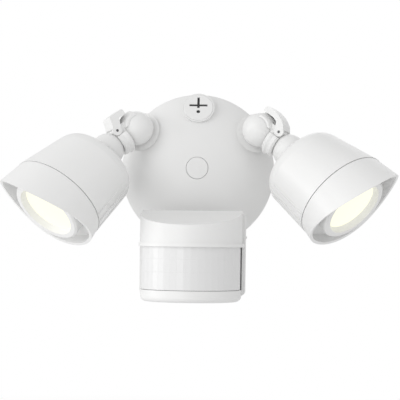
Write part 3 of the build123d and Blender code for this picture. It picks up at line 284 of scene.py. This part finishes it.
bpy.ops.object.select_all(action="DESELECT")
bar_half = CROSS_HALF_WIDTH - RECESS_CLEAR
arm_length = CROSS_HALF_SPAN - CROSS_HALF_WIDTH
upright_height = CROSS_TOP - CROSS_LOW - 2 * RECESS_CLEAR
bpy.ops.mesh.primitive_cube_add(size=1, location=(0, (CROSS_TOP + CROSS_LOW) / 2, RECESS_FLOOR))
painted_shade_web = bpy.context.object
painted_shade_web.name = "cap_recess_painted_shade"
painted_shade_web.scale = (2 * bar_half, upright_height, RECESS_THICK)
bpy.ops.object.transform_apply(location=True, rotation=True, scale=True)
bpy.ops.object.mode_set(mode="EDIT")
for height in (CROSS_MIDDLE - bar_half, CROSS_MIDDLE + bar_half):
    bpy.ops.mesh.select_all(action="SELECT")
    bpy.ops.mesh.bisect(plane_co=(0, height, 0), plane_no=(0, 1, 0))
for sign in (-1, 1):
    bpy.ops.mesh.select_all(action="DESELECT")
    mesh = bmesh.from_edit_mesh(painted_shade_web.data)
    for face in mesh.faces:
        middle = face.calc_center_median()
        beside_bar = abs(middle.y - CROSS_MIDDLE) < CROSS_HALF_WIDTH
        if sign * face.normal.x > SIDE_FACING and beside_bar:
            face.select = True
    bmesh.update_edit_mesh(painted_shade_web.data)
    bpy.ops.mesh.extrude_region_move(TRANSFORM_OT_translate={"value": (sign * arm_length, 0, 0)})
bpy.ops.mesh.select_all(action="SELECT")
bpy.ops.mesh.normals_make_consistent(inside=False)
bpy.ops.mesh.select_all(action="DESELECT")
bpy.ops.mesh.primitive_cylinder_add(vertices=DOT_SIDES, radius=DOT_RADIUS - RECESS_CLEAR,
                                    depth=RECESS_THICK, location=(0, DOT_MIDDLE, RECESS_FLOOR))
bpy.ops.mesh.bevel(offset=RECESS_CLEAR, segments=1)
bpy.ops.object.mode_set(mode="OBJECT")
outward = Vector((0, -cos(CAP_LEAN), sin(CAP_LEAN)))
upward = outward.cross(Vector((1, 0, 0)))
cap_turn = Matrix((Vector((1, 0, 0)), upward, outward)).transposed().to_4x4()
painted_shade_web.data.transform(Matrix.Translation(CAP_PLACE) @ cap_turn)
# The near-black nylon look on this sheet is painted shade for the depth of the cross and the dot.
painted_shade_web.data.materials.append(black_nylon_and_painted_shade)
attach(painted_shade_web, "canopy")


# ---- Lamp arms. Die-cast knuckles: a ball on a threaded stem, the clamp between the two balls with
# its locking lever, and the lamp's own ball; powder coated white, with zinc-plated nuts.
SIDES = ("left", "right")
WHITE_COAT = (0.84, 0.84, 0.835, 1)
COAT_ROUGHNESS = 0.34
COAT_PEEL = 700.0
COAT_DEPTH = 0.0005
COAT_STRENGTH = 0.06
PIN_GREY = (0.10, 0.10, 0.105, 1)

coating, tree, shader = surface("white_powder_coat", WHITE_COAT, COAT_ROUGHNESS)
grain(tree, shader, COAT_PEEL, COAT_DEPTH, COAT_STRENGTH)
# The lever pins are coloured near black, a dark dot on the side of each clamp.
pin_steel, tree, shader = surface("near_black_pin", PIN_GREY, roughness=0.4)
grain(tree, shader, COAT_PEEL, COAT_DEPTH, strength=0.1)
for side in SIDES:
    dress(coating, f"swivel_ball_{side}", f"clamp_body_{side}")
    dress(coating, f"clamp_lever_{side}", f"neck_ball_{side}")
    dress(zinc, f"swivel_nut_{side}", f"neck_nut_{side}")
    dress(pin_steel, f"lever_pin_{side}")


# ---- Lamp heads. Bucket housing and hooded visor in coated aluminium, a raised ring round the
# frosted lens, and behind it the reflector, the round board with its light source and its spreader.
LENS_TINT = (0.12, 0.12, 0.11, 1)
LENS_GLOW = (1.0, 0.99, 0.776, 1)
LENS_STRENGTH = 0.96
FROST_GRAIN = 500.0
FROST_DEPTH = 0.0003
REFLECTOR_SILVER = (0.82, 0.82, 0.82, 1)
REFLECTOR_DULL = (0.78, 0.78, 0.79, 1)
PHOSPHOR = (0.95, 0.80, 0.30, 1)
PHOSPHOR_PALE = (0.93, 0.84, 0.42, 1)
SPREADER = (0.70, 0.71, 0.72, 1)
SPREADER_DULL = (0.64, 0.65, 0.66, 1)

lit_lens, tree, shader = surface("lit_lens", LENS_TINT, roughness=0.4)
shader.inputs["Emission Color"].default_value = LENS_GLOW
shader.inputs["Emission Strength"].default_value = LENS_STRENGTH
grain(tree, shader, FROST_GRAIN, FROST_DEPTH, strength=0.1)
silver, tree, shader = surface("vacuum_silver", REFLECTOR_SILVER, roughness=0.12)
shader.inputs["Metallic"].default_value = 1.0
two_tones(tree, shader, scale=60.0, first=REFLECTOR_SILVER, second=REFLECTOR_DULL)
phosphor, tree, shader = surface("light_source", PHOSPHOR, roughness=0.3)
two_tones(tree, shader, scale=250.0, first=PHOSPHOR, second=PHOSPHOR_PALE)
aluminium, tree, shader = surface("rolled_aluminium", SPREADER, roughness=0.38)
shader.inputs["Metallic"].default_value = 1.0
two_tones(tree, shader, scale=90.0, first=SPREADER, second=SPREADER_DULL)
for side in SIDES:
    dress(coating, f"lamp_housing_{side}", f"lamp_visor_{side}", f"lens_bezel_{side}")
    dress(zinc, f"visor_screws_{side}")
    dress(foam, f"lens_gasket_{side}")
    dress(lit_lens, f"lamp_lens_{side}")
    dress(silver, f"reflector_{side}")
    dress(phosphor, f"led_board_{side}")
    dress(aluminium, f"heat_spreader_{side}")


# ---- Sensor arm. A hollow stem in the canopy with a round barrel, and the bracket that pans on it;
# both white mouldings, with two plain steel pins and a nut.
dress(moulding, "sensor_mount", "sensor_yoke")
dress(zinc, "mount_nut", "pan_pin", "tilt_pin")


# ---- Sensor shells. The hood with its sloping roof and drip lip, the base and the rear cover:
# white polycarbonate mouldings, screwed together from behind.
dress(moulding, "sensor_rear_cover", "sensor_hood", "sensor_base")
dress(zinc, "cover_screws")


# ---- Sensor window. A thin milky moulding bent round the head, its skin in upright facets with a
# fine groove between them; it snaps in under the hood's lip and stands on the base.
WINDOW_RADIUS = 0.0393
WINDOW_MIDDLE = -0.0761
WINDOW_BACK = -0.0666
WINDOW_TOP = -0.0660
WINDOW_BOTTOM = -0.0997
WINDOW_WALL = 0.0014
WINDOW_TURNS = 45             # facets in a full circle
WINDOW_GROOVE = 0.00018
WINDOW_ROWS = (0.42, 0.72)    # heights of the two grooves across
WINDOW_COLOUR = (0.76, 0.76, 0.76, 1)
WINDOW_GRAIN = 500.0
WINDOW_GRAIN_DEPTH = 0.0003
FACET_ANGLE = radians(5)      # facets that meet at more than this stay sharp
NEAR = 1e-5
PAN_PIN = Vector((0, -0.038, -0.051))
TILT_PIN = Vector((0, -0.057, -0.051))
PAN = radians(-4)
TILT = radians(1)


def turn_about(pin, angle, axis):
    """A turn about an axis through a pin."""
    return Matrix.Translation(pin) @ Matrix.Rotation(angle, 4, axis) @ Matrix.Translation(-pin)


height = WINDOW_TOP - WINDOW_BOTTOM
bpy.ops.object.select_all(action="DESELECT")
bpy.ops.mesh.primitive_cylinder_add(vertices=WINDOW_TURNS, radius=WINDOW_RADIUS, depth=height,
                                    end_fill_type="NOTHING", rotation=(0, 0, pi / 2),
                                    location=(0, WINDOW_MIDDLE, (WINDOW_TOP + WINDOW_BOTTOM) / 2))
window = bpy.context.object
window.name = "sensor_window"
bpy.ops.object.transform_apply(location=True, rotation=True, scale=True)
bpy.ops.object.mode_set(mode="EDIT")
bpy.ops.mesh.select_all(action="SELECT")
bpy.ops.mesh.bisect(plane_co=(0, WINDOW_MIDDLE, 0), plane_no=(0, 1, 0), clear_outer=True)
for share in WINDOW_ROWS:
    bpy.ops.mesh.select_all(action="SELECT")
    bpy.ops.mesh.bisect(plane_co=(0, 0, WINDOW_BOTTOM + share * height), plane_no=(0, 0, 1))
bpy.ops.mesh.select_all(action="SELECT")
bpy.ops.mesh.inset(use_individual=True, use_even_offset=True, thickness=WINDOW_GROOVE,
                   depth=WINDOW_GROOVE / 2)
bpy.ops.mesh.select_all(action="DESELECT")
mesh = bmesh.from_edit_mesh(window.data)
for edge in mesh.edges:
    if edge.is_boundary and all(abs(v.co.y - WINDOW_MIDDLE) < NEAR for v in edge.verts):
        edge.select = True
bmesh.update_edit_mesh(window.data)
to_back = (0, WINDOW_BACK - WINDOW_MIDDLE, 0)
bpy.ops.mesh.extrude_region_move(TRANSFORM_OT_translate={"value": to_back})
bpy.ops.mesh.select_all(action="SELECT")
bpy.ops.mesh.normals_make_consistent(inside=False)
bpy.ops.object.mode_set(mode="OBJECT")
solid = window.modifiers.new("wall", "SOLIDIFY")
solid.thickness = WINDOW_WALL
solid.offset = -1
bpy.ops.object.modifier_apply(modifier="wall")
window.data.transform(turn_about(PAN_PIN, PAN, "Z") @ turn_about(TILT_PIN, TILT, "X"))
milky, tree, shader = surface("milky_window", WINDOW_COLOUR, roughness=0.3)
grain(tree, shader, WINDOW_GRAIN, WINDOW_GRAIN_DEPTH, strength=0.03)
window.data.materials.append(milky)
bpy.ops.object.shade_smooth_by_angle(angle=FACET_ANGLE)
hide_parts("sensor_lens")
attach(window, "sensor_head")


# ---- Electronics. A coated circuit board with its relay, the detector in its bright can behind the
# window, and the amber light cell that looks out under the head.
BOARD = (0.02, 0.16, 0.06, 1)
BOARD_TRACK = (0.03, 0.24, 0.09, 1)
CAN = (0.72, 0.72, 0.70, 1)
CAN_DULL = (0.66, 0.66, 0.65, 1)
AMBER = (0.50, 0.22, 0.04, 1)
AMBER_PALE = (0.62, 0.33, 0.07, 1)

board, tree, shader = surface("coated_board", BOARD, roughness=0.3)
two_tones(tree, shader, scale=220.0, first=BOARD, second=BOARD_TRACK)
can, tree, shader = surface("bright_can", CAN, roughness=0.22)
shader.inputs["Metallic"].default_value = 1.0
two_tones(tree, shader, scale=120.0, first=CAN, second=CAN_DULL)
amber, tree, shader = surface("amber_cell", AMBER, roughness=0.15)
two_tones(tree, shader, scale=400.0, first=AMBER, second=AMBER_PALE)
dress(board, "sensor_board")
dress(can, "pir_detector")
dress(amber, "light_cell")
dress(grey_nylon, "relay")


# ---- Controls. Two slotted knobs for time and range and the slider of the mode switch, grey nylon,
# all reached from below the head.
dress(grey_nylon, "time_knob", "range_knob", "mode_switch")
